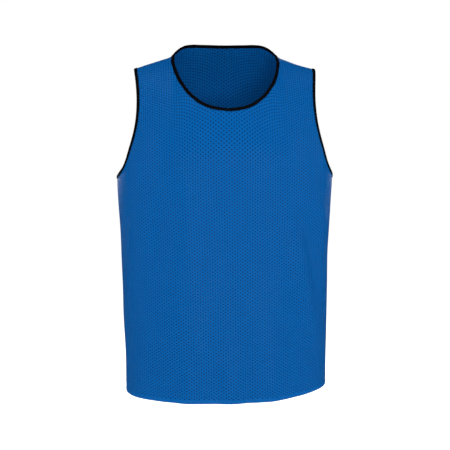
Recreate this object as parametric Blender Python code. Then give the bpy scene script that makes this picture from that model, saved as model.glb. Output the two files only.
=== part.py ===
"""Sleeveless mesh training bib, filled out as if worn, with nobody in it.

Metres, +Z up, the front faces -Y. The origin is midway between the inner ends of the two
shoulder seams, where the wearer's shoulders carry the bib.

The cloth follows one closed form: level sections from the hem up to the chest line, and
from there a surface that curves over to the ridge that both shoulder seams lie on. Every
point of a panel is a place on that form: a share of the way from the panel's middle line
to its side (side = 0 to 1), and a length up the cloth from the hem.
"""

import math
from collections import namedtuple

import bpy
import numpy as np

# Driving dimensions
HEM_DROP = 0.704          # from the shoulder seams' inner ends down to the hem
QUARTER_GIRTH = 0.2890    # the cut of each half panel, side to middle line
CLOTH = 0.0012            # wall of one layer of mesh
HEM_FOLD = 0.0080         # depth of the hem's turned-up layer
HEM_STEP = 0.0006         # height over which that layer ends
SEAM_GAP = 0.0003         # between pieces that are sewn together
TAPE = 0.0008             # thickness of the binding tape
TAPE_ROOM = 0.0006        # between the folded tape and the cloth it grips
TAPE_GRIP = 0.0052        # how far the folded tape covers the cloth on each face
UNDERARM = 0.2260         # half the form's width where the side seams end
UNDERARM_HEIGHT = -0.2525


def table(columns, *rows):
    """Rows of sizes with named columns."""
    row_type = namedtuple("Row", columns)
    return [row_type(*row) for row in rows]


# Level sections of the form, from the hem to the underarm. All are real sizes.
SECTIONS = table(
    "height half_width front_depth back_depth aside",
    (-0.704, 0.2135, 0.150, 0.142, 0.003),
    (-0.564, 0.2150, 0.149, 0.139, 0.002),
    (-0.404, 0.2185, 0.145, 0.130, 0.001),
    (UNDERARM_HEIGHT, UNDERARM, 0.138, 0.122, 0.000),
    (-0.194, UNDERARM, 0.137, 0.121, 0.000),
)
# How square the sections are (2 is an ellipse), and the same for the curve over the
# shoulders, with the height where that curve begins.
FORMS = table(
    "name facing depth section_power over_power chest_line",
    ("front", -1, "front_depth", 2.25, 1.60, -0.219),
    ("back", 1, "back_depth", 2.45, 1.95, -0.194),
)
# Mean sizes that the cloth's lengths on the form are reckoned from.
MEAN_HALF_WIDTH = 0.218
MEAN_DEPTH = 0.138
MEAN_RISE = 0.215

# The ridge over the shoulders: its height and how far behind the origin it runs. The
# first row mirrors the third, so that the ridge is level in the middle.
RIDGE = table(
    "across height behind",
    (-0.030, 0.0620, 0.004),
    (0.000, 0.0680, 0.004),
    (0.030, 0.0620, 0.004),
    (0.060, 0.0460, 0.003),
    (0.080, 0.0310, 0.002),
    (0.092, 0.0190, 0.001),
    (0.099, 0.0100, 0.000),
    (0.106, 0.0000, 0.000),
    (0.115, -0.0065, -0.001),
    (0.127, -0.0110, -0.003),
    (0.149, -0.0190, -0.006),
    (0.188, -0.0310, -0.012),
    (0.240, -0.0450, -0.020),
)

# Right halves of the cut edges, seen from the front.
FRONT_NECK = table(
    "across height",
    (0.0000, -0.1160),
    (0.0380, -0.1090),
    (0.0680, -0.0910),
    (0.0905, -0.0630),
    (0.1040, -0.0320),
    (0.1075, -0.0130),
    (0.1060, 0.0000),
)
BACK_NECK = table(
    "across height",
    (0.0000, 0.0235),
    (0.0450, 0.0235),
    (0.0680, 0.0225),
    (0.0820, 0.0195),
    (0.0930, 0.0135),
    (0.1010, 0.0060),
    (0.1060, 0.0000),
)
FRONT_ARM = table(
    "across height",
    (UNDERARM, UNDERARM_HEIGHT),
    (0.2105, -0.2290),
    (0.1975, -0.1940),
    (0.1865, -0.1540),
    (0.1815, -0.1040),
    (0.1828, -0.0640),
    (0.1870, -0.0307),
)
BACK_ARM = table(
    "across height",
    (UNDERARM, UNDERARM_HEIGHT),
    (0.2080, -0.2280),
    (0.1920, -0.1890),
    (0.1810, -0.1440),
    (0.1785, -0.0940),
    (0.1825, -0.0540),
    (0.1870, -0.0307),
)

# Soft folds: bearing is the direction from the middle in plan, 0 to the right, -90 in
# front. Each runs from its top to its foot. A negative lift is a trough.
FOLDS = table(
    "top_bearing top foot_bearing foot reach lift",
    (-50, -0.215, -24, -0.660, 0.021, 0.0065),
    (-34, -0.225, -12, -0.420, 0.019, 0.0050),
    (-42, -0.240, -22, -0.560, 0.017, -0.0045),
    (-124, -0.205, -121, -0.430, 0.019, 0.0042),
    (-139, -0.225, -141, -0.530, 0.019, -0.0042),
    (-100, -0.520, -101, -0.780, 0.019, -0.0042),
    (-88, -0.560, -87, -0.780, 0.018, 0.0036),
    (-76, -0.500, -74, -0.780, 0.019, -0.0042),
    (-60, -0.580, -57, -0.780, 0.021, 0.0036),
    (-120, -0.580, -123, -0.780, 0.021, 0.0040),
    (58, -0.230, 44, -0.640, 0.022, 0.0055),
    (122, -0.240, 136, -0.600, 0.022, 0.0055),
    (90, -0.400, 92, -0.780, 0.024, -0.0055),
    (72, -0.480, 69, -0.780, 0.021, 0.0042),
    (109, -0.460, 113, -0.780, 0.021, 0.0042),
)

# The hem hangs a little higher on the side seam at the right: the bearing of the middle
# of that lift, how wide it is, its height and how far up the cloth it fades out.
HEM_LIFT_BEARING = -10
HEM_LIFT_SPREAD = 36
HEM_LIFT = 0.0125
HEM_LIFT_FADE = 0.30

# How finely the solids are cut: cells across half a panel, cells in all from the hem to
# the shoulder, those below the armhole, and those below each panel's neck edge.
CELLS_ACROSS = 16
CELLS_UP = 40
CELLS_TO_UNDERARM = 18
CELLS_TO_NECK = {"front": 23, "back": 25}
EDGE_STRIP = 0.0080       # the row of cells that follows each edge, wider than the tape
SPREADING_ROUNDS = 400
SHORT_STEP = 0.002        # along the form, from which its directions are read
TINY = 1e-6               # for telling whether a point is on a seam
SHARP_ANGLE = 50          # degrees; the wall's cut edges stay sharp

BLUE = (0.012, 0.095, 0.335, 1.0)
BLACK = (0.006, 0.006, 0.008, 1.0)


def superellipse(width, depth, power, samples=600):
    """Shares of the length of a quarter superellipse, with how far across (0 to 1) and
    how deep (1 to 0) it is there."""
    angle = np.linspace(0.0, math.pi / 2, samples + 1)
    across = np.sin(angle) ** (2 / power)
    deep = np.cos(angle) ** (2 / power)
    across[-1], deep[-1] = 1.0, 0.0
    length = np.hypot(width * np.diff(across), depth * np.diff(deep)).cumsum()
    return np.concatenate([[0.0], length / length[-1]]), across, deep, length[-1]


def smooth(x, y, at):
    """A smooth reading, at some places, of y given at the rising places x."""
    x, y = np.array(x), np.array(y)
    slope = np.gradient(y, x)
    at = np.clip(at, x[0], x[-1])
    k = np.clip(np.searchsorted(x, at, side="right") - 1, 0, len(x) - 2)
    gap = x[k + 1] - x[k]
    t = (at - x[k]) / gap
    rise = y[k + 1] - y[k]
    bend = slope[k] * gap - rise
    unbend = rise - slope[k + 1] * gap
    return y[k] + t * rise + t * (1 - t) * ((1 - t) * bend + t * unbend)


def look_up(rows, column, at):
    """A smooth reading of one named column of a table, by its first column."""
    return smooth([row[0] for row in rows], [getattr(row, column) for row in rows], at)


def smooth_line(points, steps=40):
    """A smooth line through the points, as many short steps between each two."""
    points = np.array(points, float)
    along = np.concatenate([[0.0], np.linalg.norm(np.diff(points, axis=0), axis=1).cumsum()])
    at = np.linspace(0.0, along[-1], steps * (len(points) - 1) + 1)
    return np.column_stack([smooth(along, column, at) for column in points.T])


def evenly(line, lengths_of, count):
    """Points of a line, evenly spaced by length on the form."""
    place = lengths_of(line)
    along = np.concatenate([[0.0], np.linalg.norm(np.diff(place, axis=0), axis=1).cumsum()])
    at = np.linspace(0.0, along[-1], count + 1)
    return np.column_stack([np.interp(at, along, c) for c in line.T])


class Form:
    """The front's or the back's half of the form that the cloth follows."""

    def __init__(self, name):
        form = next(row for row in FORMS if row.name == name)
        self.facing, self.depth, self.chest_line = form.facing, form.depth, form.chest_line
        self.section = superellipse(MEAN_HALF_WIDTH, MEAN_DEPTH, form.section_power)
        self.over = superellipse(MEAN_RISE, MEAN_DEPTH, form.over_power)
        self.chest_length = self.chest_line + HEM_DROP
        self.top_length = self.chest_length + self.over[3]

    def ridge(self, across, column="height"):
        return look_up(RIDGE, column, np.abs(across))

    def on_seam(self, side, length):
        return (np.abs(side) > 1 - TINY) | (length > self.top_length - TINY)

    def places(self, edge):
        """(side, length up the cloth) of points given as (across, height)."""
        across, height = np.asarray(edge, float).T
        half_width = look_up(SECTIONS, "half_width", height)
        side = np.interp(np.clip(across / half_width, 0, 1), self.section[1], self.section[0])
        rise = self.ridge(across) - self.chest_line
        share = np.clip((height - self.chest_line) / rise, 0, 1)
        over = np.interp(share, self.over[1], self.over[0]) * self.over[3]
        length = np.where(height > self.chest_line, self.chest_length + over, height + HEM_DROP)
        return np.column_stack([side, length])

    def metres(self, edge):
        """The same places as lengths on the flat cut, in metres."""
        return self.places(edge) * (QUARTER_GIRTH, 1.0)

    def points(self, side, length):
        """Points of the smooth form. side runs from -1 on the left to 1 on the right."""
        span = np.abs(side)
        share = np.clip((length - self.chest_length) / self.over[3], 0, 1)
        climb = np.interp(share, self.over[0], self.over[1])
        keep = np.interp(share, self.over[0], self.over[2])
        level = np.minimum(length - HEM_DROP, self.chest_line)
        half_width = look_up(SECTIONS, "half_width", level)
        depth = look_up(SECTIONS, self.depth, level)
        x = half_width * np.interp(span, self.section[0], self.section[1])
        out = self.facing * depth * np.interp(span, self.section[0], self.section[2])
        behind = self.ridge(x, "behind")
        y = np.where(share > 0, behind * (1 - keep) + out * keep, out)
        z = level + climb * (self.ridge(x) - self.chest_line)
        x = np.sign(side) * x + look_up(SECTIONS, "aside", level)
        turn = np.degrees(np.arctan2(y, x)) - HEM_LIFT_BEARING
        fade = np.clip(1 - length / HEM_LIFT_FADE, 0, 1) ** 2
        lift = HEM_LIFT * np.exp(-((turn / HEM_LIFT_SPREAD) ** 2)) * fade
        return np.stack([x, y, z + lift], axis=-1)

    def normals(self, side, length):
        """Outward directions of the smooth form, level with the seams along them."""
        a, b = np.clip(side - SHORT_STEP, -1, 1), np.clip(side + SHORT_STEP, -1, 1)
        low = np.maximum(length - SHORT_STEP, 0)
        high = np.minimum(length + SHORT_STEP, self.top_length)
        across = self.points(b, length) - self.points(a, length)
        up = self.points(side, high) - self.points(side, low)
        normal = np.cross(across, up) * -self.facing
        normal[..., 1] *= ~self.on_seam(side, length)
        return normal / np.linalg.norm(normal, axis=-1, keepdims=True)


def fold_lift(points):
    """How far the soft folds lift the cloth off the smooth form at these points."""
    bearing = np.degrees(np.arctan2(points[..., 1], points[..., 0]))
    lift = np.zeros(points.shape[:-1])
    for fold in FOLDS:
        down = (fold.top - points[..., 2]) / (fold.top - fold.foot)
        middle = fold.top_bearing + (fold.foot_bearing - fold.top_bearing) * down
        off = (bearing - middle + 180) % 360 - 180
        across = off / 90 * QUARTER_GIRTH / fold.reach
        along = np.clip(down, 0, 1)
        lift += fold.lift * np.exp(-across**2) * np.sin(math.pi * along) ** 2
    return lift


def strip_inside(line, inward):
    """The line moved inward by the edge strip, square to each of its two neighbours."""
    step = np.diff(line, axis=0)
    square = np.column_stack([step[:, 1], -step[:, 0]]) * inward
    square /= np.linalg.norm(square, axis=1, keepdims=True)
    level = np.array([[inward, 0.0]])
    before = np.concatenate([level, square])
    after = np.concatenate([square, level])
    before[-1] = after[0] = level
    corner = 1 + (before * after).sum(axis=1, keepdims=True)
    return line + (before + after) / corner * EDGE_STRIP


def spread(grid):
    """Evens out the inner corners of a flat grid, without letting any cell fold over."""
    for _ in range(SPREADING_ROUNDS):
        right, left = grid[2:, 1:-1], grid[:-2, 1:-1]
        above, below = grid[1:-1, 2:], grid[1:-1, :-2]
        across, up = (right - left) / 2, (above - below) / 2
        twist = (grid[2:, 2:] - grid[:-2, 2:] - grid[2:, :-2] + grid[:-2, :-2]) / 4
        wide = (across**2).sum(axis=-1, keepdims=True)
        tall = (up**2).sum(axis=-1, keepdims=True)
        slant = (across * up).sum(axis=-1, keepdims=True)
        moved = tall * (right + left) + wide * (above + below) - 2 * slant * twist
        grid[1:-1, 1:-1] = moved / (2 * (wide + tall))


def half_grid(form, neck, arm, cells_to_neck):
    """(side, length) at each grid corner of a half panel. Columns run from the middle
    line and the neck edge to the side seam and the armhole, rows from the hem up."""
    neck = form.metres(evenly(smooth_line(neck), form.metres, CELLS_UP - cells_to_neck))
    arm = form.metres(evenly(smooth_line(arm), form.metres, CELLS_UP - CELLS_TO_UNDERARM))
    neck[-1, 1] = arm[-1, 1] = form.top_length
    hem = np.array([0.0, HEM_FOLD, HEM_FOLD + HEM_STEP])

    def run_up(line, cells):
        steps = np.linspace(hem[-1], line[0, 1], cells - len(hem) + 2)[1:]
        heights = np.concatenate([hem, steps])
        low = np.column_stack([np.full(len(heights), line[0, 0]), heights])
        return np.concatenate([low, line[1:]])

    inner = run_up(neck, cells_to_neck)
    outer = run_up(arm, CELLS_TO_UNDERARM)
    inner_strip = strip_inside(inner, 1)
    outer_strip = strip_inside(outer, -1)
    share = np.linspace(0, 1, CELLS_ACROSS - 1)[:, None, None]
    grid = inner_strip[None] * (1 - share) + outer_strip[None] * share
    spread(grid[:, len(hem) - 1:])
    grid = np.concatenate([inner[None], grid, outer[None]])
    return grid / (QUARTER_GIRTH, 1.0)


def split(cell, a, b, c, d):
    """The two triangles of a four-cornered cell, parted along its shorter diagonal."""
    if np.linalg.norm(a - c) < np.linalg.norm(b - d):
        return [cell[:3], [cell[0], cell[2], cell[3]]]
    return [[cell[0], cell[1], cell[3]], cell[1:]]


class Panel:
    """The front or the back: its outer and inner points, its cells and its cut edges."""

    def __init__(self, name, neck, arm):
        form = Form(name)
        to_neck = self.to_neck = CELLS_TO_NECK[name]
        grid = half_grid(form, neck, arm, to_neck)
        self.outer, self.cells, self.index = [], [], {}
        seams, walls = [], []
        rows = range(grid.shape[1])
        for sign in (1, -1):
            side, length = grid[..., 0] * sign, grid[..., 1]
            normal = form.normals(side, length)
            smooth = form.points(side, length)
            outer = smooth + normal * fold_lift(smooth)[..., None]
            seam = form.on_seam(side, length)
            outer[..., 1] += form.facing * SEAM_GAP / 2 * seam
            wall = np.where(length < HEM_FOLD + HEM_STEP / 2, 2 * CLOTH, CLOTH)
            for i in range(grid.shape[0]):
                for j in rows:
                    shared = i == 0 and j <= to_neck and sign < 0
                    self.index[sign, i, j] = self.index[1, i, j] if shared else len(self.outer)
                    if not shared:
                        self.outer.append(outer[i, j])
                        seams.append(seam[i, j])
                        walls.append(wall[i, j])
            for i in range(grid.shape[0] - 1):
                for j in rows[:-1]:
                    corners = ((i, j), (i + 1, j), (i + 1, j + 1), (i, j + 1))
                    cell = [self.index[sign, *c] for c in corners]
                    cell = cell if sign * form.facing < 0 else cell[::-1]
                    self.cells += split(cell, *(self.outer[k] for k in cell))
        self.outer = np.array(self.outer)
        self.inner = self.outer - self.cell_normals(seams) * np.array(walls)[:, None]
        last = grid.shape[0] - 1
        top = grid.shape[1]
        self.neck = [(1, 0, j) for j in range(top - 1, to_neck - 1, -1)]
        self.neck += [(-1, 0, j) for j in range(to_neck + 1, top)]
        self.arms = {s: [(s, last, j) for j in range(CELLS_TO_UNDERARM, top)] for s in (1, -1)}

    def cell_normals(self, seams):
        """Outward directions at the outer points, from the cells round each. On a seam
        they are level with the seam's plane."""
        a, b, c = (self.outer[[cell[k] for cell in self.cells]] for k in range(3))
        facing = np.cross(b - a, c - a)
        normals = np.zeros_like(self.outer)
        for k in range(3):
            np.add.at(normals, [cell[k] for cell in self.cells], facing)
        normals[seams, 1] = 0.0
        return normals / np.linalg.norm(normals, axis=1, keepdims=True)

    def edge(self, keys):
        """Rows of (outer point, the next point into the panel, inner point) along a cut
        edge. Where an edge starts, the next point lies straight below."""
        found = []
        for sign, i, j in keys:
            start = j == (self.to_neck if i == 0 else CELLS_TO_UNDERARM)
            inward = (i, j - 1) if start else (1 if i == 0 else i - 1, j)
            corner = self.index[sign, i, j]
            beside = self.index[sign, *inward]
            found.append([self.outer[corner], self.outer[beside], self.inner[corner]])
        return found

    def solid(self, name, material):
        """The panel's wall as one closed mesh."""
        count = len(self.outer)
        faces = self.cells + [[k + count for k in c[::-1]] for c in self.cells]
        sides = [(c[k], c[(k + 1) % 3]) for c in self.cells for k in range(3)]
        inside = set(sides)
        for a, b in sides:
            if (b, a) not in inside:
                faces.append([b, a, a + count, b + count])
        return mesh_object(name, np.concatenate([self.outer, self.inner]), faces, material)


def mesh_object(name, points, faces, material):
    mesh = bpy.data.meshes.new(name)
    mesh.from_pydata([tuple(p) for p in points], [], faces)
    mesh.materials.append(material)
    mesh.shade_smooth()
    mesh.set_sharp_from_angle(angle=math.radians(SHARP_ANGLE))
    part = bpy.data.objects.new(name, mesh)
    bpy.context.scene.collection.objects.link(part)
    return part


def unit(v):
    return v / np.linalg.norm(v)


def joined_edge(first, second):
    """One closed ring of edge rows from the two panels' edges, which meet at both ends.
    Where they meet, the ring has one row midway."""
    ring = []
    for line, other in ((first, second), (second, first)):
        middle = [(a + b) / 2 for a, b in zip(line[0], other[-1])]
        ring += [middle] + line[1:-1]
    return ring


def tape_ring(name, ring, material):
    """Binding tape folded round a cut edge: a channel that grips both faces."""
    room = TAPE_ROOM
    lip = room + TAPE
    section = (
        (-TAPE_GRIP, room), (room, room),
        (room, -CLOTH - room), (-TAPE_GRIP, -CLOTH - room),
        (-TAPE_GRIP, -CLOTH - lip), (lip, -CLOTH - lip), (lip, lip), (-TAPE_GRIP, lip),
    )
    points, faces, count, wide = [], [], len(ring), len(section)
    for k, (edge, inward, under) in enumerate(ring):
        tangent = unit(ring[(k + 1) % count][0] - ring[k - 1][0])
        away = edge - inward
        away /= np.linalg.norm(np.cross(tangent, away))
        normal = unit(np.cross(tangent, away))
        normal *= np.sign(normal @ (edge - under))
        points += [edge + away * out + normal * up for out, up in section]
        after, beyond = ring[(k + 1) % count][:2]
        for m in range(wide):
            a, b = k * wide + m, k * wide + (m + 1) % wide
            c, d = (k + 1) % count * wide + (m + 1) % wide, (k + 1) % count * wide + m
            # The first face and the one halfway round the section lead away from the cloth.
            leads_away = m % (wide // 2) == 0
            like = (inward, edge, after, beyond) if leads_away else (edge, inward, beyond, after)
            faces += split([a, b, c, d], *like)
    tape = mesh_object(name, points, faces, material)
    turn_outward(tape)
    return tape


def turn_outward(part):
    """Turns the faces round if the mesh is inside out."""
    mesh = part.data
    volume = 0.0
    mesh.calc_loop_triangles()
    for triangle in mesh.loop_triangles:
        a, b, c = (mesh.vertices[v].co for v in triangle.vertices)
        volume += a.dot(b.cross(c)) / 6
    if volume < 0:
        mesh.flip_normals()


def cloth_material(name, colour, roughness):
    material = bpy.data.materials.new(name)
    material.use_nodes = True
    shader = material.node_tree.nodes["Principled BSDF"]
    shader.inputs["Base Color"].default_value = colour
    shader.inputs["Roughness"].default_value = roughness
    shader.inputs["Metallic"].default_value = 0.0
    return material


def main():
    for thing in list(bpy.data.objects):
        bpy.data.objects.remove(thing)
    mesh_cloth = cloth_material("blue_mesh", BLUE, 0.55)
    tape_cloth = cloth_material("black_tape", BLACK, 0.75)
    front = Panel("front", FRONT_NECK, FRONT_ARM)
    back = Panel("back", BACK_NECK, BACK_ARM)
    front.solid("front_panel", mesh_cloth)
    back.solid("back_panel", mesh_cloth)
    neck = joined_edge(front.edge(front.neck), back.edge(back.neck[::-1]))
    tape_ring("neck_binding", neck, tape_cloth)
    for sign, name in ((-1, "left_armhole_binding"), (1, "right_armhole_binding")):
        arm = joined_edge(front.edge(front.arms[sign]), back.edge(back.arms[sign][::-1]))
        tape_ring(name, arm, tape_cloth)


main()
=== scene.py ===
import math
import random
from collections import namedtuple

import bpy
import numpy as np
from mathutils import Matrix, Vector


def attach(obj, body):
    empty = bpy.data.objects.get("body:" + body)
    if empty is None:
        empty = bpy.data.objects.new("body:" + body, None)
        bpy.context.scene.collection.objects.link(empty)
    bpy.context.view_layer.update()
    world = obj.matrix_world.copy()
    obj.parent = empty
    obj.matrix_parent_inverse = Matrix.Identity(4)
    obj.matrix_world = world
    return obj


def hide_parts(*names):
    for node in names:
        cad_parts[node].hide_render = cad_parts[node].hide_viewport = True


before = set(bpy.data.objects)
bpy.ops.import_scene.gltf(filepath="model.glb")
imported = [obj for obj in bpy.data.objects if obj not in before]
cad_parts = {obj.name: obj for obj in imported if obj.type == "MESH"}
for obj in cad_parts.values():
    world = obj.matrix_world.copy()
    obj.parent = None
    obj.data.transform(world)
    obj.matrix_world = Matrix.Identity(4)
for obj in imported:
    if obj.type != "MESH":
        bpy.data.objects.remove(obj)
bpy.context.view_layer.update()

# The looks of a mesh training bib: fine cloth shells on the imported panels' form, folded
# binding tapes, hem, seams, stitches and knit. Metres, +Z up, the front faces -Y.

random.seed(7)

# Driving dimensions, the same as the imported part's
HEM_DROP = 0.704
QUARTER_GIRTH = 0.2890
CLOTH = 0.0012
HEM_FOLD = 0.0080
SEAM_GAP = 0.0003
TAPE = 0.0008
TAPE_ROOM = 0.0003
TAPE_GRIP = 0.0052
UNDERARM = 0.2260
UNDERARM_HEIGHT = -0.2525


def table(columns, *rows):
    """Rows of sizes with named columns."""
    row_type = namedtuple("Row", columns)
    return [row_type(*row) for row in rows]


# Level sections of the form, from the hem to the underarm
SECTIONS = table(
    "height half_width front_depth back_depth aside",
    (-0.704, 0.2135, 0.150, 0.142, 0.003),
    (-0.564, 0.2150, 0.149, 0.139, 0.002),
    (-0.404, 0.2185, 0.145, 0.130, 0.001),
    (UNDERARM_HEIGHT, UNDERARM, 0.138, 0.122, 0.000),
    (-0.194, UNDERARM, 0.137, 0.121, 0.000),
)
# How square the sections are, and the same for the curve over the shoulders
FORMS = table(
    "name facing depth section_power over_power chest_line",
    ("front", -1, "front_depth", 2.25, 1.60, -0.219),
    ("back", 1, "back_depth", 2.45, 1.95, -0.194),
)
MEAN_HALF_WIDTH = 0.218
MEAN_DEPTH = 0.138
MEAN_RISE = 0.215

# The ridge over the shoulders
RIDGE = table(
    "across height behind",
    (-0.030, 0.0620, 0.004),
    (0.000, 0.0680, 0.004),
    (0.030, 0.0620, 0.004),
    (0.060, 0.0460, 0.003),
    (0.080, 0.0310, 0.002),
    (0.092, 0.0190, 0.001),
    (0.099, 0.0100, 0.000),
    (0.106, 0.0000, 0.000),
    (0.115, -0.0065, -0.001),
    (0.127, -0.0110, -0.003),
    (0.149, -0.0190, -0.006),
    (0.188, -0.0310, -0.012),
    (0.240, -0.0450, -0.020),
)

# Right halves of the cut edges
FRONT_NECK = table(
    "across height",
    (0.0000, -0.1160),
    (0.0380, -0.1090),
    (0.0680, -0.0910),
    (0.0905, -0.0630),
    (0.1040, -0.0320),
    (0.1075, -0.0130),
    (0.1060, 0.0000),
)
BACK_NECK = table(
    "across height",
    (0.0000, 0.0235),
    (0.0450, 0.0235),
    (0.0680, 0.0225),
    (0.0820, 0.0195),
    (0.0930, 0.0135),
    (0.1010, 0.0060),
    (0.1060, 0.0000),
)
FRONT_ARM = table(
    "across height",
    (UNDERARM, UNDERARM_HEIGHT),
    (0.2105, -0.2290),
    (0.1975, -0.1940),
    (0.1865, -0.1540),
    (0.1815, -0.1040),
    (0.1828, -0.0640),
    (0.1870, -0.0307),
)
BACK_ARM = table(
    "across height",
    (UNDERARM, UNDERARM_HEIGHT),
    (0.2080, -0.2280),
    (0.1920, -0.1890),
    (0.1810, -0.1440),
    (0.1785, -0.0940),
    (0.1825, -0.0540),
    (0.1870, -0.0307),
)

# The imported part's soft folds: bearings in plan, -90 in front, from top to foot
FOLDS = table(
    "top_bearing top foot_bearing foot reach lift",
    (-50, -0.215, -24, -0.660, 0.021, 0.0065),
    (-34, -0.225, -12, -0.420, 0.019, 0.0050),
    (-42, -0.240, -22, -0.560, 0.017, -0.0045),
    (-124, -0.205, -121, -0.430, 0.019, 0.0042),
    (-139, -0.225, -141, -0.530, 0.019, -0.0042),
    (-100, -0.520, -101, -0.780, 0.019, -0.0042),
    (-88, -0.560, -87, -0.780, 0.018, 0.0036),
    (-76, -0.500, -74, -0.780, 0.019, -0.0042),
    (-60, -0.580, -57, -0.780, 0.021, 0.0036),
    (-120, -0.580, -123, -0.780, 0.021, 0.0040),
    (58, -0.230, 44, -0.640, 0.022, 0.0055),
    (122, -0.240, 136, -0.600, 0.022, 0.0055),
    (90, -0.400, 92, -0.780, 0.024, -0.0055),
    (72, -0.480, 69, -0.780, 0.021, 0.0042),
    (109, -0.460, 113, -0.780, 0.021, 0.0042),
)
# Smaller creases that only the fine cloth has
CREASES = table(
    "top_bearing top foot_bearing foot reach lift",
    (-96, -0.130, -88, -0.235, 0.010, 0.0016),
    (-91, -0.200, -87, -0.252, 0.011, -0.0016),
    (-98, -0.255, -104, -0.420, 0.012, 0.0012),
    (-72, -0.250, -64, -0.440, 0.012, 0.0012),
    (-110, -0.300, -113, -0.520, 0.011, -0.0011),
    (-131, -0.300, -127, -0.560, 0.011, 0.0012),
    (-56, -0.330, -47, -0.600, 0.011, 0.0013),
    (-30, -0.270, -16, -0.430, 0.009, 0.0013),
    (-150, -0.260, -165, -0.420, 0.009, 0.0013),
    (-94, -0.590, -95, -0.760, 0.009, 0.0012),
    (-82, -0.600, -81, -0.760, 0.009, 0.0010),
    (-107, -0.610, -109, -0.760, 0.009, -0.0011),
    (-66, -0.600, -65, -0.760, 0.010, -0.0011),
    (-134, -0.600, -137, -0.770, 0.010, 0.0012),
    (-45, -0.610, -42, -0.770, 0.010, -0.0012),
    (-172, -0.520, -169, -0.760, 0.009, 0.0014),
    (80, -0.240, 84, -0.430, 0.012, 0.0013),
    (101, -0.250, 96, -0.430, 0.012, 0.0013),
    (62, -0.300, 54, -0.560, 0.011, -0.0013),
    (118, -0.310, 127, -0.540, 0.011, -0.0013),
    (33, -0.270, 22, -0.420, 0.009, 0.0013),
    (149, -0.270, 161, -0.420, 0.009, 0.0013),
    (82, -0.590, 81, -0.760, 0.009, 0.0012),
    (99, -0.600, 101, -0.760, 0.009, 0.0012),
    (54, -0.600, 51, -0.760, 0.010, 0.0012),
    (129, -0.600, 132, -0.760, 0.010, 0.0012),
)
HEM_LIFT_BEARING = -10
HEM_LIFT_SPREAD = 36
HEM_LIFT = 0.0125
HEM_LIFT_FADE = 0.30

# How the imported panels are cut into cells, and how much finer these shells are.
CELLS_ACROSS = 16
CELLS_UP = 40
CELLS_TO_UNDERARM = 18
CELLS_TO_NECK = {"front": 23, "back": 25}
EDGE_STRIP = 0.0080
SPREADING_ROUNDS = 400
SHORT_STEP = 0.002
TINY = 1e-6
FINER = 4

# The knit: two sets of holes, each a regular grid, set half a step apart.
HOLE_STEP_ACROSS = 0.0100
HOLE_STEP_UP = 0.0064
HOLE_RADIUS = 0.00125
WALE_STEP = 0.00125


def superellipse(width, depth, power, samples=600):
    angle = np.linspace(0.0, math.pi / 2, samples + 1)
    across = np.sin(angle) ** (2 / power)
    deep = np.cos(angle) ** (2 / power)
    across[-1], deep[-1] = 1.0, 0.0
    length = np.hypot(width * np.diff(across), depth * np.diff(deep)).cumsum()
    return np.concatenate([[0.0], length / length[-1]]), across, deep, length[-1]


def smooth(x, y, at):
    """A smooth reading, at some places, of y given at the rising places x."""
    x, y = np.array(x), np.array(y)
    slope = np.gradient(y, x)
    at = np.clip(at, x[0], x[-1])
    k = np.clip(np.searchsorted(x, at, side="right") - 1, 0, len(x) - 2)
    gap = x[k + 1] - x[k]
    t = (at - x[k]) / gap
    rise = y[k + 1] - y[k]
    bend = slope[k] * gap - rise
    unbend = rise - slope[k + 1] * gap
    return y[k] + t * rise + t * (1 - t) * ((1 - t) * bend + t * unbend)


def look_up(rows, column, at):
    """A smooth reading of one named column of a table, by its first column."""
    return smooth([row[0] for row in rows], [getattr(row, column) for row in rows], at)


def smooth_line(points, steps=40):
    points = np.array(points, float)
    along = np.concatenate([[0.0], np.linalg.norm(np.diff(points, axis=0), axis=1).cumsum()])
    at = np.linspace(0.0, along[-1], steps * (len(points) - 1) + 1)
    return np.column_stack([smooth(along, column, at) for column in points.T])


def evenly(line, lengths_of, count):
    place = lengths_of(line)
    along = np.concatenate([[0.0], np.linalg.norm(np.diff(place, axis=0), axis=1).cumsum()])
    at = np.linspace(0.0, along[-1], count + 1)
    return np.column_stack([np.interp(at, along, c) for c in line.T])


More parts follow.
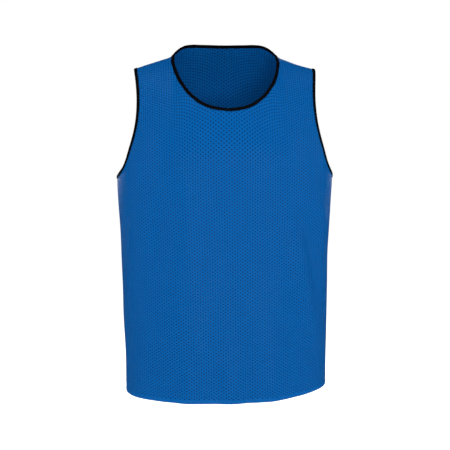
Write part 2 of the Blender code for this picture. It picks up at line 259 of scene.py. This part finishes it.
class Form:
    """The front's or the back's half of the form that the cloth follows."""

    def __init__(self, name):
        form = next(row for row in FORMS if row.name == name)
        self.facing, self.depth, self.chest_line = form.facing, form.depth, form.chest_line
        self.section = superellipse(MEAN_HALF_WIDTH, MEAN_DEPTH, form.section_power)
        self.over = superellipse(MEAN_RISE, MEAN_DEPTH, form.over_power)
        self.chest_length = self.chest_line + HEM_DROP
        self.top_length = self.chest_length + self.over[3]

    def ridge(self, across, column="height"):
        return look_up(RIDGE, column, np.abs(across))

    def on_seam(self, side, length):
        return (np.abs(side) > 1 - TINY) | (length > self.top_length - TINY)

    def places(self, edge):
        across, height = np.asarray(edge, float).T
        half_width = look_up(SECTIONS, "half_width", height)
        side = np.interp(np.clip(across / half_width, 0, 1), self.section[1], self.section[0])
        rise = self.ridge(across) - self.chest_line
        share = np.clip((height - self.chest_line) / rise, 0, 1)
        over = np.interp(share, self.over[1], self.over[0]) * self.over[3]
        length = np.where(height > self.chest_line, self.chest_length + over, height + HEM_DROP)
        return np.column_stack([side, length])

    def metres(self, edge):
        return self.places(edge) * (QUARTER_GIRTH, 1.0)

    def points(self, side, length):
        span = np.abs(side)
        share = np.clip((length - self.chest_length) / self.over[3], 0, 1)
        climb = np.interp(share, self.over[0], self.over[1])
        keep = np.interp(share, self.over[0], self.over[2])
        level = np.minimum(length - HEM_DROP, self.chest_line)
        half_width = look_up(SECTIONS, "half_width", level)
        depth = look_up(SECTIONS, self.depth, level)
        x = half_width * np.interp(span, self.section[0], self.section[1])
        out = self.facing * depth * np.interp(span, self.section[0], self.section[2])
        behind = self.ridge(x, "behind")
        y = np.where(share > 0, behind * (1 - keep) + out * keep, out)
        z = level + climb * (self.ridge(x) - self.chest_line)
        x = np.sign(side) * x + look_up(SECTIONS, "aside", level)
        turn = np.degrees(np.arctan2(y, x)) - HEM_LIFT_BEARING
        fade = np.clip(1 - length / HEM_LIFT_FADE, 0, 1) ** 2
        lift = HEM_LIFT * np.exp(-((turn / HEM_LIFT_SPREAD) ** 2)) * fade
        return np.stack([x, y, z + lift], axis=-1)

    def normals(self, side, length):
        a, b = np.clip(side - SHORT_STEP, -1, 1), np.clip(side + SHORT_STEP, -1, 1)
        low = np.maximum(length - SHORT_STEP, 0)
        high = np.minimum(length + SHORT_STEP, self.top_length)
        across = self.points(b, length) - self.points(a, length)
        up = self.points(side, high) - self.points(side, low)
        normal = np.cross(across, up) * -self.facing
        normal[..., 1] *= ~self.on_seam(side, length)
        return normal / np.linalg.norm(normal, axis=-1, keepdims=True)


def table_lift(points, rows):
    """How far the rows of a fold table lift the cloth off the smooth form."""
    bearing = np.degrees(np.arctan2(points[..., 1], points[..., 0]))
    lift = np.zeros(points.shape[:-1])
    for fold in rows:
        down = (fold.top - points[..., 2]) / (fold.top - fold.foot)
        middle = fold.top_bearing + (fold.foot_bearing - fold.top_bearing) * down
        off = (bearing - middle + 180) % 360 - 180
        across = off / 90 * QUARTER_GIRTH / fold.reach
        along = np.clip(down, 0, 1)
        lift += fold.lift * np.exp(-across**2) * np.sin(math.pi * along) ** 2
    return lift


def slack(points):
    """The soft unevenness of cloth that nothing stretches: slow waves of many directions."""
    waves = np.random.default_rng(11)
    lift = np.zeros(points.shape[:-1])
    for _ in range(14):
        direction = waves.normal(size=3) * (1.0, 1.0, 0.45)
        direction /= np.linalg.norm(direction)
        length = waves.uniform(0.055, 0.14)
        turn = waves.uniform(0, 2 * math.pi)
        lift += np.sin(points @ direction * (2 * math.pi / length) + turn) * length
    return lift * 0.0024


def strip_inside(line, inward):
    step = np.diff(line, axis=0)
    square = np.column_stack([step[:, 1], -step[:, 0]]) * inward
    square /= np.linalg.norm(square, axis=1, keepdims=True)
    level = np.array([[inward, 0.0]])
    before = np.concatenate([level, square])
    after = np.concatenate([square, level])
    before[-1] = after[0] = level
    corner = 1 + (before * after).sum(axis=1, keepdims=True)
    return line + (before + after) / corner * EDGE_STRIP


def spread(grid):
    """Evens out the inner corners of a flat grid, without letting any cell fold over."""
    for _ in range(SPREADING_ROUNDS):
        right, left = grid[2:, 1:-1], grid[:-2, 1:-1]
        above, below = grid[1:-1, 2:], grid[1:-1, :-2]
        across, up = (right - left) / 2, (above - below) / 2
        twist = (grid[2:, 2:] - grid[:-2, 2:] - grid[2:, :-2] + grid[:-2, :-2]) / 4
        wide = (across**2).sum(axis=-1, keepdims=True)
        tall = (up**2).sum(axis=-1, keepdims=True)
        slant = (across * up).sum(axis=-1, keepdims=True)
        moved = tall * (right + left) + wide * (above + below) - 2 * slant * twist
        grid[1:-1, 1:-1] = moved / (2 * (wide + tall))


def half_grid(form, neck, arm, cells_to_neck):
    """(metres from the middle line, metres up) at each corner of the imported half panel."""
    neck = form.metres(evenly(smooth_line(neck), form.metres, CELLS_UP - cells_to_neck))
    arm = form.metres(evenly(smooth_line(arm), form.metres, CELLS_UP - CELLS_TO_UNDERARM))
    neck[-1, 1] = arm[-1, 1] = form.top_length
    hem = np.array([0.0, HEM_FOLD])

    def run_up(line, cells):
        steps = np.linspace(hem[-1], line[0, 1], cells - len(hem) + 2)[1:]
        heights = np.concatenate([hem, steps])
        low = np.column_stack([np.full(len(heights), line[0, 0]), heights])
        return np.concatenate([low, line[1:]])

    inner = run_up(neck, cells_to_neck)
    outer = run_up(arm, CELLS_TO_UNDERARM)
    inner_strip = strip_inside(inner, 1)
    outer_strip = strip_inside(outer, -1)
    share = np.linspace(0, 1, CELLS_ACROSS - 1)[:, None, None]
    grid = inner_strip[None] * (1 - share) + outer_strip[None] * share
    spread(grid[:, len(hem) - 1:])
    return np.concatenate([inner[None], grid, outer[None]])


def finer_line(points, times, bends=()):
    """The line with that many steps for each one, smooth except at the bends."""
    cuts = [0, *sorted(bends), len(points) - 1]
    parts = []
    for start, stop in zip(cuts[:-1], cuts[1:]):
        piece = points[start:stop + 1]
        place = np.arange(len(piece), dtype=float)
        at = np.linspace(0, len(piece) - 1, (len(piece) - 1) * times + 1)
        finer = np.column_stack([smooth(place, column, at) for column in piece.T])
        parts.append(finer if not parts else finer[1:])
    return np.concatenate(parts)


def finer_grid(grid, times, to_neck):
    """The same grid with more cells. Its first and last columns keep their corners."""
    last = len(grid) - 1
    corners = {0: (1, to_neck), 1: (1, to_neck)}
    corners.update({last - 1: (1, CELLS_TO_UNDERARM), last: (1, CELLS_TO_UNDERARM)})
    tall = np.stack([finer_line(c, times, corners.get(i, (1,))) for i, c in enumerate(grid)])
    wide = [finer_line(tall[:, j], times) for j in range(tall.shape[1])]
    return np.stack(wide, axis=1)


class Cloth:
    """A fine panel: its outer and inner points, its flat places, cells and cut edges."""

    def __init__(self, name, neck, arm):
        form = Form(name)
        self.to_neck = CELLS_TO_NECK[name] * FINER
        self.to_underarm = CELLS_TO_UNDERARM * FINER
        coarse = half_grid(form, neck, arm, CELLS_TO_NECK[name])
        grid = finer_grid(coarse, FINER, CELLS_TO_NECK[name]) / (QUARTER_GIRTH, 1.0)
        self.outer, self.flat, self.cells, self.index = [], [], [], {}
        seams, walls = [], []
        rows = range(grid.shape[1])
        for sign in (1, -1):
            side = np.clip(grid[..., 0], 0, 1) * sign
            length = np.clip(grid[..., 1], 0, form.top_length)
            normal = form.normals(side, length)
            smooth = form.points(side, length)
            side_seam = (1 - np.abs(side)) * QUARTER_GIRTH
            shoulder = form.top_length - length
            lift = table_lift(smooth, FOLDS) + table_lift(smooth, CREASES) + slack(smooth)
            lift -= 0.0009 * np.exp(-((side_seam / 0.0022) ** 2))
            lift -= 0.0009 * np.exp(-((shoulder / 0.0022) ** 2))
            lift -= 0.0005 * np.exp(-(((length - HEM_FOLD) / 0.0016) ** 2))
            outer = smooth + normal * lift[..., None]
            seam = form.on_seam(side, length)
            outer[..., 1] += form.facing * SEAM_GAP / 2 * seam
            wall = np.where(length < HEM_FOLD - TINY, 2 * CLOTH, CLOTH)
            for i in range(grid.shape[0]):
                for j in rows:
                    shared = i == 0 and j <= self.to_neck and sign < 0
                    self.index[sign, i, j] = self.index[1, i, j] if shared else len(self.outer)
                    if not shared:
                        self.outer.append(outer[i, j])
                        self.flat.append((side[i, j] * QUARTER_GIRTH, length[i, j]))
                        seams.append(seam[i, j])
                        walls.append(wall[i, j])
            for i in range(grid.shape[0] - 1):
                for j in rows[:-1]:
                    corners = ((i, j), (i + 1, j), (i + 1, j + 1), (i, j + 1))
                    cell = [self.index[sign, *c] for c in corners]
                    self.cells.append(cell if sign * form.facing < 0 else cell[::-1])
        self.outer = np.array(self.outer)
        self.seams = seams
        self.inner = self.outer - self.cell_normals() * np.array(walls)[:, None]
        last = grid.shape[0] - 1
        top = grid.shape[1]
        self.neck = [(1, 0, j) for j in range(top - 1, self.to_neck - 1, -1)]
        self.neck += [(-1, 0, j) for j in range(self.to_neck + 1, top)]
        self.arms = {s: [(s, last, j) for j in range(self.to_underarm, top)] for s in (1, -1)}
        self.hem = [(1, i, 0) for i in range(last, -1, -1)]
        self.hem += [(-1, i, 0) for i in range(1, last + 1)]

    def cell_normals(self):
        a, b, c, d = (self.outer[[cell[k] for cell in self.cells]] for k in range(4))
        facing = np.cross(c - a, d - b)
        normals = np.zeros_like(self.outer)
        for k in range(4):
            np.add.at(normals, [cell[k] for cell in self.cells], facing)
        normals[self.seams, 1] = 0.0
        return normals / np.linalg.norm(normals, axis=1, keepdims=True)

    def edge(self, keys):
        """Rows of (outer point, the next point into the panel, inner point) along a cut
        edge. Where an edge starts, the next point lies straight below."""
        found = []
        for sign, i, j in keys:
            start = j == (self.to_neck if i == 0 else self.to_underarm)
            inward = (i, j - 1) if start else (1 if i == 0 else i - 1, j)
            corner = self.index[sign, i, j]
            beside = self.index[sign, *inward]
            found.append([self.outer[corner], self.outer[beside], self.inner[corner]])
        return found

    def shell(self, name, material):
        count = len(self.outer)
        faces = self.cells + [[k + count for k in c[::-1]] for c in self.cells]
        sides = [(c[k], c[(k + 1) % 4]) for c in self.cells for k in range(4)]
        inside = set(sides)
        for a, b in sides:
            if (b, a) not in inside:
                faces.append([b, a, a + count, b + count])
        flat = self.flat + self.flat
        return mesh_object(name, np.concatenate([self.outer, self.inner]), faces, material, flat)


def mesh_object(name, points, faces, material, flat=None):
    mesh = bpy.data.meshes.new(name)
    mesh.from_pydata([tuple(p) for p in points], [], faces)
    mesh.materials.append(material)
    mesh.shade_smooth()
    mesh.set_sharp_from_angle(angle=math.radians(50))
    if flat is not None:
        places = np.array(flat, np.float32)
        corners = np.zeros(len(mesh.loops), np.int32)
        mesh.loops.foreach_get("vertex_index", corners)
        layer = mesh.uv_layers.new(name="flat_cut")
        layer.data.foreach_set("uv", places[corners].ravel())
    part = bpy.data.objects.new(name, mesh)
    bpy.context.scene.collection.objects.link(part)
    return part


def unit(v):
    return v / np.linalg.norm(v)


def joined_edge(first, second):
    ring = []
    for line, other in ((first, second), (second, first)):
        middle = [(a + b) / 2 for a, b in zip(line[0], other[-1])]
        ring += [middle] + line[1:-1]
    return ring


def ring_frames(ring):
    """(place, along, away from the cloth, outward) at each row of an edge ring."""
    frames = []
    count = len(ring)
    for k, (edge, inward, under) in enumerate(ring):
        tangent = unit(ring[(k + 1) % count][0] - ring[k - 1][0])
        away = edge - inward
        away /= np.linalg.norm(np.cross(tangent, away))
        normal = unit(np.cross(tangent, away))
        normal *= np.sign(normal @ (edge - under))
        frames.append([edge, tangent, away, normal])
    for part in (2, 3):
        values = np.array([f[part] for f in frames])
        for _ in range(3):
            values = (np.roll(values, 1, axis=0) + 2 * values + np.roll(values, -1, axis=0)) / 4
        for f, v in zip(frames, values):
            f[part] = v
    return frames


def tape_section():
    """The folded tape's section: out from the cut edge, and up from the cloth's face."""
    room, wall = TAPE_ROOM, TAPE
    middle = -CLOTH / 2
    inner_reach = CLOTH / 2 + room
    outer_reach = inner_reach + wall
    turns = np.linspace(90, -90, 7)
    outer = [(-TAPE_GRIP, outer_reach - 0.0002), (-TAPE_GRIP + 0.0004, outer_reach)]
    outer += [(-TAPE_GRIP / 2, outer_reach + 0.0001)]
    outer += [(outer_reach * math.cos(math.radians(t)), outer_reach * math.sin(math.radians(t)))
              for t in turns]
    outer += [(-TAPE_GRIP / 2, -outer_reach - 0.0001)]
    outer += [(-TAPE_GRIP + 0.0004, -outer_reach), (-TAPE_GRIP, -outer_reach + 0.0002)]
    inner = [(-TAPE_GRIP, -inner_reach), (0, -inner_reach), (room, 0), (0, inner_reach)]
    inner += [(-TAPE_GRIP, inner_reach)]
    return [(out, up + middle) for out, up in outer + inner]


def tape(name, frames, material):
    section = tape_section()
    points, faces, flat, wide, count = [], [], [], len(section), len(frames)
    along = 0.0
    for k, (edge, tangent, away, normal) in enumerate(frames):
        along += np.linalg.norm(edge - frames[k - 1][0]) if k else 0.0
        uneven = 1 + 0.05 * math.sin(k * 0.61) + 0.04 * math.sin(k * 0.23 + 1)
        for out, up in section:
            out = out * uneven if out < -0.001 else out
            points.append(edge + away * out + normal * up)
            flat.append((out - up, along))
        for m in range(wide):
            a, b = k * wide + m, k * wide + (m + 1) % wide
            c, d = (k + 1) % count * wide + (m + 1) % wide, (k + 1) % count * wide + m
            faces.append([a, b, c, d])
    part = mesh_object(name, points, faces, material, flat)
    turn_outward(part)
    return part


def turn_outward(part):
    mesh = part.data
    volume = 0.0
    mesh.calc_loop_triangles()
    for triangle in mesh.loop_triangles:
        a, b, c = (mesh.vertices[v].co for v in triangle.vertices)
        volume += a.dot(b.cross(c)) / 6
    if volume < 0:
        mesh.flip_normals()


def stitches(name, lines, pitch, length, radius, material):
    """A row of short threads along each line of (place, along, outward) rows."""
    points, faces = [], []
    for places, normals in lines:
        places, normals = np.array(places), np.array(normals)
        run = np.concatenate([[0.0], np.linalg.norm(np.diff(places, axis=0), axis=1).cumsum()])
        count = int(run[-1] / pitch)
        for n in range(count):
            at = (n + 0.5) * run[-1] / count + random.uniform(-1, 1) * pitch * 0.05
            ends = [at - length / 2, at, at + length / 2]
            spots = [np.array([np.interp(e, run, c) for c in places.T]) for e in ends]
            up = unit(np.array([np.interp(at, run, c) for c in normals.T]))
            along = unit(spots[2] - spots[0])
            beside = np.cross(along, up)
            base = len(points)
            for spot, rise, size in zip(spots, (-0.6, 0.35, -0.6), (0.45, 1.0, 0.45)):
                for turn in np.radians([0, 72, 144, 216, 288]):
                    ring = beside * math.cos(turn) + up * math.sin(turn)
                    points.append(spot + up * rise * radius + ring * radius * size)
            for band in (0, 5):
                for m in range(5):
                    a, b = base + band + m, base + band + (m + 1) % 5
                    faces.append([a, b, b + 5, a + 5])
            faces.append([base + m for m in (4, 3, 2, 1, 0)])
            faces.append([base + 10 + m for m in range(5)])
    part = mesh_object(name, points, faces, material)
    turn_outward(part)
    return part


# Materials


def new_material(name):
    material = bpy.data.materials.new(name)
    material.use_nodes = True
    nodes = material.node_tree.nodes
    return material, nodes, material.node_tree.links, nodes["Principled BSDF"]


def maths(nodes, links, operation, *inputs):
    node = nodes.new("ShaderNodeMath")
    node.operation = operation
    for socket, value in zip(node.inputs, inputs):
        if isinstance(value, (int, float)):
            socket.default_value = value
        else:
            links.new(value, socket)
    return node.outputs[0]


def hole_distance(nodes, links, u, v, shift):
    """Distance to the nearest hole of one regular grid, moved by half a step or not."""
    across = maths(nodes, links, "ADD", u, 1.0 + shift * HOLE_STEP_ACROSS / 2)
    across = maths(nodes, links, "PINGPONG", across, HOLE_STEP_ACROSS / 2)
    up = maths(nodes, links, "ADD", v, 1.0 * HOLE_STEP_UP * 20 + shift * HOLE_STEP_UP / 2)
    up = maths(nodes, links, "PINGPONG", up, HOLE_STEP_UP / 2)
    square = maths(nodes, links, "MULTIPLY", across, across)
    square = maths(nodes, links, "MULTIPLY_ADD", up, up, square)
    return maths(nodes, links, "SQRT", square)


def knit_material():
    material, nodes, links, shader = new_material("blue_knit")
    place = nodes.new("ShaderNodeUVMap")
    place.uv_map = "flat_cut"
    parts = nodes.new("ShaderNodeSeparateXYZ")
    links.new(place.outputs[0], parts.inputs[0])
    u, v = parts.outputs[0], parts.outputs[1]
    near = hole_distance(nodes, links, u, v, 0)
    far = hole_distance(nodes, links, u, v, 1)
    distance = maths(nodes, links, "MINIMUM", near, far)
    hole = nodes.new("ShaderNodeMapRange")
    hole.interpolation_type = "SMOOTHSTEP"
    hole.inputs["From Min"].default_value = HOLE_RADIUS + 0.00025
    hole.inputs["From Max"].default_value = HOLE_RADIUS - 0.00035
    links.new(distance, hole.inputs["Value"])
    above_hem = maths(nodes, links, "GREATER_THAN", v, HEM_FOLD)
    # Where the holes are: the dimples in the bump, and the painted shade in the colour
    hole_and_shade_mask = maths(nodes, links, "MULTIPLY", hole.outputs[0], above_hem)

    uneven = nodes.new("ShaderNodeTexNoise")
    uneven.inputs["Scale"].default_value = 26.0
    uneven.inputs["Detail"].default_value = 3.0
    links.new(place.outputs[0], uneven.inputs["Vector"])
    cloth = nodes.new("ShaderNodeMix")
    cloth.data_type = "RGBA"
    cloth.inputs["A"].default_value = (0.0006, 0.073, 0.262, 1.0)
    cloth.inputs["B"].default_value = (0.0008, 0.083, 0.290, 1.0)
    links.new(uneven.outputs[0], cloth.inputs["Factor"])
    # The hole dots are painted shade: the holes are not cut, and their dark blue stands for the shaded
    # inside of the bib seen through them
    colour = nodes.new("ShaderNodeMix")
    colour.data_type = "RGBA"
    colour.inputs["B"].default_value = (0.0004, 0.012, 0.070, 1.0)
    links.new(hole_and_shade_mask, colour.inputs["Factor"])
    links.new(cloth.outputs["Result"], colour.inputs["A"])
    links.new(colour.outputs["Result"], shader.inputs["Base Color"])

    wales = maths(nodes, links, "PINGPONG", maths(nodes, links, "ADD", u, 1.0), WALE_STEP / 2)
    courses = maths(nodes, links, "PINGPONG", v, WALE_STEP / 2)
    knit = maths(nodes, links, "ADD", wales, maths(nodes, links, "MULTIPLY", courses, 0.6))
    height = maths(nodes, links, "MULTIPLY_ADD", hole_and_shade_mask, -0.0011, maths(nodes, links, "MULTIPLY", knit, 0.22))
    bump = nodes.new("ShaderNodeBump")
    bump.inputs["Strength"].default_value = 0.8
    bump.inputs["Distance"].default_value = 1.0
    links.new(height, bump.inputs["Height"])
    links.new(bump.outputs[0], shader.inputs["Normal"])
    shader.inputs["Roughness"].default_value = 0.31
    shader.inputs["Specular IOR Level"].default_value = 0.035
    return material


def tape_material():
    material, nodes, links, shader = new_material("black_tape")
    place = nodes.new("ShaderNodeUVMap")
    place.uv_map = "flat_cut"
    rib = nodes.new("ShaderNodeTexWave")
    rib.wave_type = "BANDS"
    rib.bands_direction = "DIAGONAL"
    rib.inputs["Scale"].default_value = 450.0
    rib.inputs["Distortion"].default_value = 0.6
    links.new(place.outputs[0], rib.inputs["Vector"])
    colour = nodes.new("ShaderNodeMix")
    colour.data_type = "RGBA"
    colour.inputs["A"].default_value = (0.0006, 0.0006, 0.0008, 1.0)
    colour.inputs["B"].default_value = (0.0020, 0.0020, 0.0025, 1.0)
    links.new(rib.outputs["Fac"], colour.inputs["Factor"])
    links.new(colour.outputs["Result"], shader.inputs["Base Color"])
    bump = nodes.new("ShaderNodeBump")
    bump.inputs["Strength"].default_value = 0.35
    bump.inputs["Distance"].default_value = 0.0002
    links.new(rib.outputs["Fac"], bump.inputs["Height"])
    links.new(bump.outputs[0], shader.inputs["Normal"])
    shader.inputs["Roughness"].default_value = 0.6
    shader.inputs["Specular IOR Level"].default_value = 0.02
    return material


def plain_material(name, colour, roughness):
    material, nodes, links, shader = new_material(name)
    grain = nodes.new("ShaderNodeTexNoise")
    grain.inputs["Scale"].default_value = 60.0
    mix = nodes.new("ShaderNodeMix")
    mix.data_type = "RGBA"
    mix.inputs["A"].default_value = (*[c * 0.94 for c in colour], 1.0)
    mix.inputs["B"].default_value = (*colour, 1.0)
    links.new(grain.outputs[0], mix.inputs["Factor"])
    links.new(mix.outputs["Result"], shader.inputs["Base Color"])
    shader.inputs["Roughness"].default_value = roughness
    shader.inputs["Specular IOR Level"].default_value = 0.06
    return material


# Build the pieces

knit = knit_material()
tape_cloth = tape_material()
blue_thread = plain_material("blue_thread", (0.002, 0.075, 0.270), 0.6)
black_thread = plain_material("black_thread", (0.004, 0.004, 0.005), 0.6)

front = Cloth("front", FRONT_NECK, FRONT_ARM)
back = Cloth("back", BACK_NECK, BACK_ARM)
front_shell = front.shell("front_cloth", knit)
back_shell = back.shell("back_cloth", knit)

neck_frames = ring_frames(joined_edge(front.edge(front.neck), back.edge(back.neck[::-1])))
arm_frames = {
    sign: ring_frames(joined_edge(front.edge(front.arms[sign]), back.edge(back.arms[sign][::-1])))
    for sign in (-1, 1)
}
neck_tape = tape("neck_tape", neck_frames, tape_cloth)
left_tape = tape("left_armhole_tape", arm_frames[-1], tape_cloth)
right_tape = tape("right_armhole_tape", arm_frames[1], tape_cloth)


def tape_stitch_line(frames, inside):
    """A closed line 1.1 mm in from the tape's turned edge, on its outer or inner face."""
    reach = -TAPE_GRIP + 0.0011
    rise = TAPE_ROOM + TAPE + 0.0001
    rise = -CLOTH - rise if inside else rise
    rows = list(frames) + [frames[0]]
    places = [edge + away * reach + normal * rise for edge, _, away, normal in rows]
    return places, [normal * (-1 if inside else 1) for *_, normal in rows]


tape_lines = [tape_stitch_line(f, inside) for f in (neck_frames, *arm_frames.values())
              for inside in (False, True)]
tape_stitches = stitches("tape_stitches", tape_lines, 0.0028, 0.0021, 0.00022, black_thread)


def hem_line(cloth):
    """A line on the panel's outer face, just below the top of the hem."""
    normals = cloth.cell_normals()
    places, ups = [], []
    for sign, i, _ in cloth.hem:
        below = cloth.index[sign, i, 0]
        above = cloth.index[sign, i, FINER]
        share = 0.86
        places.append(cloth.outer[below] * (1 - share) + cloth.outer[above] * share)
        ups.append(unit(normals[above]))
    return places, ups


hem_stitches = stitches(
    "hem_stitches", [hem_line(front), hem_line(back)], 0.0028, 0.0021, 0.00022, blue_thread
)

for piece in (front_shell, back_shell, neck_tape, left_tape, right_tape, tape_stitches, hem_stitches):
    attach(piece, "root")
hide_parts("front_panel")
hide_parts("back_panel")
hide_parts("neck_binding")
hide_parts("left_armhole_binding")
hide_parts("right_armhole_binding")


# Floor, light and camera

floor_material = plain_material("floor_paper", (0.80, 0.80, 0.80), 0.9)
floor_shader = floor_material.node_tree.nodes["Principled BSDF"]
floor_shader.inputs["Emission Color"].default_value = (1.0, 1.0, 1.0, 1.0)
floor_shader.inputs["Emission Strength"].default_value = 0.82
bpy.ops.mesh.primitive_plane_add(size=30, location=(0, 0, -1.05))
floor = bpy.context.object
floor.name = "floor"
floor.data.materials.append(floor_material)
# The cloth at the sides would mirror the bright floor, so the floor stays out of reflections.
floor.visible_glossy = False

# The backdrop is white where it is looked at, lights the bib less than that, and is dark
# in reflections, so that only the lamps make highlights.
BACKDROP_STRENGTH = 1.0
FILL_STRENGTH = 0.30
REFLECTED_STRENGTH = 0.03
world = bpy.data.worlds.new("studio")
bpy.context.scene.world = world
world.use_nodes = True
nodes, links = world.node_tree.nodes, world.node_tree.links
fill = nodes["Background"]
fill.inputs["Color"].default_value = (1.0, 1.0, 1.0, 1.0)
fill.inputs["Strength"].default_value = FILL_STRENGTH
backdrop = nodes.new("ShaderNodeBackground")
backdrop.inputs["Color"].default_value = (1.0, 1.0, 1.0, 1.0)
backdrop.inputs["Strength"].default_value = BACKDROP_STRENGTH
reflected = nodes.new("ShaderNodeBackground")
reflected.inputs["Color"].default_value = (1.0, 1.0, 1.0, 1.0)
reflected.inputs["Strength"].default_value = REFLECTED_STRENGTH
ray = nodes.new("ShaderNodeLightPath")
unseen = nodes.new("ShaderNodeMixShader")
links.new(ray.outputs["Is Glossy Ray"], unseen.inputs[0])
links.new(fill.outputs[0], unseen.inputs[1])
links.new(reflected.outputs[0], unseen.inputs[2])
either = nodes.new("ShaderNodeMixShader")
links.new(ray.outputs["Is Camera Ray"], either.inputs[0])
links.new(unseen.outputs[0], either.inputs[1])
links.new(backdrop.outputs[0], either.inputs[2])
links.new(either.outputs[0], nodes["World Output"].inputs["Surface"])


def soft_box(name, place, target, width, height, watts):
    light = bpy.data.lights.new(name, "AREA")
    light.shape = "RECTANGLE"
    light.size, light.size_y = width, height
    light.energy = watts
    lamp = bpy.data.objects.new(name, light)
    lamp.location = place
    lamp.rotation_euler = (Vector(target) - Vector(place)).to_track_quat("-Z", "Y").to_euler()
    bpy.context.scene.collection.objects.link(lamp)
    return lamp


soft_box("key_light", (0.24, -2.3, -0.33), (0, 0, -0.26), 0.80, 0.30, 17)
soft_box("left_light", (-2.0, -0.7, 0.2), (0, 0, -0.4), 0.5, 1.4, 13)
soft_box("right_light", (2.0, -0.7, 0.2), (0, 0, -0.4), 0.5, 1.4, 13)
soft_box("top_light", (0, -0.9, 1.9), (0, 0, -0.2), 1.4, 1.4, 36)
soft_box("back_left_light", (-1.3, 2.2, 0.3), (0, 0, -0.4), 1.2, 1.4, 16)
soft_box("back_right_light", (1.3, 2.2, 0.3), (0, 0, -0.4), 1.2, 1.4, 16)

CAMERA_AZIMUTH = math.radians(-4.0)
CAMERA_ELEVATION = math.radians(5.0)
CAMERA_DISTANCE = 2.188
CAMERA_AIM = Vector((0.001, 0.0, -0.357))
camera = bpy.data.objects.new("camera", bpy.data.cameras.new("camera"))
bpy.context.scene.collection.objects.link(camera)
towards = Vector((
    math.sin(CAMERA_AZIMUTH) * math.cos(CAMERA_ELEVATION),
    -math.cos(CAMERA_AZIMUTH) * math.cos(CAMERA_ELEVATION),
    math.sin(CAMERA_ELEVATION),
))
camera.location = CAMERA_AIM + towards * CAMERA_DISTANCE
camera.rotation_euler = (-towards).to_track_quat("-Z", "Y").to_euler()
camera.data.sensor_width = 36
camera.data.lens = 82.7
bpy.context.scene.camera = camera
bpy.context.scene.view_settings.view_transform = "Standard"
